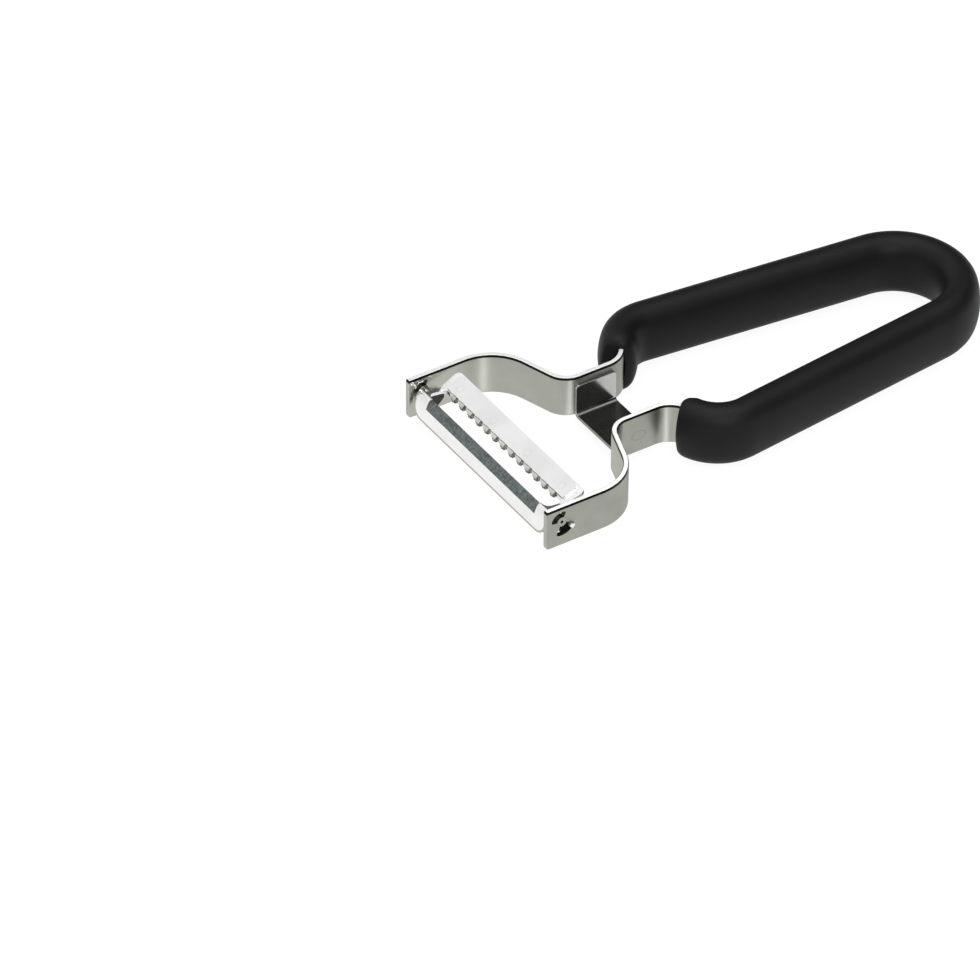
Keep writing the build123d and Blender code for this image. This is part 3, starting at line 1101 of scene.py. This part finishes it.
def row_tree():
    """Copies of one shape at even steps along a line."""
    tree, given = tree_with("even row", {
        "Shape": "Object", "Count": "Int", "First": "Vector", "Step": "Vector", "Surface": "Material",
    })
    start = given["Shape"]
    sockets = {"Count": given["Count"], "Start Location": given["First"], "Offset": given["Step"]}
    row = start.add("GeometryNodeMeshLine", (), sockets)
    shape = start.add("GeometryNodeObjectInfo", (), {"Object": given["Shape"]}, "Geometry")
    copies = start.add("GeometryNodeInstanceOnPoints", (), {"Points": row, "Instance": shape})
    end_tree(tree, copies, given["Surface"])
    return tree


even_row = row_tree()
brink = bed_origin + bed @ Vector((0, front, plate_thick))
teeth_mesh = grown(even_row, {
    "Shape": tooth, "Count": tooth_count, "Surface": plate_steel,
    "First": brink - Vector((tooth_pitch * (tooth_count - 1) / 2, 0, 0)), "Step": (tooth_pitch, 0, 0),
})
plate = make_piece("toothed_plate", joined([plate_mesh, teeth_mesh]), 0, plate_steel)
plate.data.materials.append(cut_steel)
to_bed = bed.transposed()
# Every tooth face gets the painted shade, except the upward faces and the front facets near the fold and
# along a thin line
for face in plate.data.polygons:
    normal = to_bed @ face.normal
    spot = to_bed @ face.center * 1000 - to_bed @ bed_origin
    past = (front - spot.y) / cos(tooth_bend)
    in_bright_part = past < tooth_bright or tooth_line[0] < past < tooth_line[1]
    facet = abs(normal.x) < facet_turned and facet_lean[0] < -normal.y < facet_lean[1]
    on_tooth = spot.y < front + fold_back + exact and abs(spot.x) < plate_half - 0.5
    if on_tooth and not (facet and in_bright_part) and not normal.z > 0.999:
        face.material_index = 1
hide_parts("julienne_plate")
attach(plate, "blade")


# Stage. A flat sheet of white paper under a wide soft box and a narrow strip light. Dark studio
# walls and two dark cards round it only show as dark lines in the steel.
floor_size = 6.0
paper_white = (0.9, 0.9, 0.9, 1)
shadow_share = 0.14
paper_glow = 1.06
wall_dark = (0.035, 0.037, 0.04, 1)
wall_top = 0.44
wall_fade = 0.04
wall_lean = (0.25, 0.35)
dark_corner = (0.658, -0.104, 0.744)
corner_fade = (0.95, 0.97)
dark_back = (-0.658, 0.43, 0.617)
back_fade = (0.955, 0.975)
room_grey = (0.62, 0.62, 0.62, 1)
tent_white = (1.0, 1.0, 1.0, 1)

floor_mesh = bpy.data.meshes.new("floor")
half = floor_size / 2
floor_corners = [(-half, -half, 0), (half, -half, 0), (half, half, 0), (-half, half, 0)]
floor_mesh.from_pydata(floor_corners, [], [(0, 1, 2, 3)])
floor = bpy.data.objects.new("floor", floor_mesh)
bpy.context.scene.collection.objects.link(floor)
paper = bpy.data.materials.new("paper")
paper.use_nodes = True
tree = paper.node_tree
tree.nodes.clear()
ray = Socket(tree, tree.nodes.new("ShaderNodeLightPath").outputs["Is Camera Ray"])
glossy = Socket(tree, ray.output.node.outputs["Is Glossy Ray"])
through = Socket(tree, ray.output.node.outputs["Is Transmission Ray"])
seen = ray.math("MAXIMUM", ray.math("MAXIMUM", ray, glossy), through)
plain = ray.add("ShaderNodeBsdfDiffuse", (), {"Color": paper_white})
bright = ray.add("ShaderNodeEmission", (), {"Color": tent_white, "Strength": paper_glow})
surface = ray.add("ShaderNodeMixShader", (), {0: seen * (1 - shadow_share), 1: plain, 2: bright})
result = tree.nodes.new("ShaderNodeOutputMaterial")
tree.links.new(surface.output, result.inputs["Surface"])
floor_mesh.materials.append(paper)

world = bpy.data.worlds.new("studio")
bpy.context.scene.world = world
world.use_nodes = True
tree = world.node_tree
tree.nodes.clear()
ray = Socket(tree, tree.nodes.new("ShaderNodeLightPath").outputs["Is Glossy Ray"])
direction = ray.add("ShaderNodeTexCoord", (), (), "Generated")
above_wall = direction.axis("Z") - wall_lean[1] * direction.axis("Y") - wall_lean[0] * direction.axis("X")
tent = above_wall.between(wall_top - wall_fade, wall_top + wall_fade)
corner = direction.vector("DOT_PRODUCT", {0: direction, 1: dark_corner}, 1)
back = direction.vector("DOT_PRODUCT", {0: direction, 1: dark_back}, 1)
lit = tent * (1 - corner.between(*corner_fade)) * (1 - back.between(*back_fade))
walls = lit.blend(wall_dark, tent_white)
seen_world = ray.blend(room_grey, walls)
background = ray.add("ShaderNodeBackground", (), {"Color": seen_world, "Strength": 1.0})
result = tree.nodes.new("ShaderNodeOutputWorld")
tree.links.new(background.output, result.inputs["Surface"])


def soft_box(name, azimuth, elevation, distance, size, power):
    """A flat soft lamp that faces the tool from one direction."""
    lamp = bpy.data.lights.new(name, "AREA")
    lamp.shape = "RECTANGLE"
    lamp.size = size[0]
    lamp.size_y = size[1]
    lamp.energy = power
    thing = bpy.data.objects.new(name, lamp)
    turn, rise = radians(azimuth), radians(elevation)
    away = Vector((sin(turn) * cos(rise), -cos(turn) * cos(rise), sin(rise)))
    facing = away.to_track_quat("Z", "Y").to_matrix().to_4x4()
    thing.matrix_world = Matrix.Translation(away * distance) @ facing
    bpy.context.scene.collection.objects.link(thing)


soft_box("overhead", azimuth=236.9, elevation=88, distance=1.5, size=(1.0, 1.0), power=9.0)
soft_box("side_strip", azimuth=74, elevation=35, distance=1.6, size=(0.08, 1.2), power=12.0)

scene = bpy.context.scene
scene.view_settings.view_transform = "Standard"
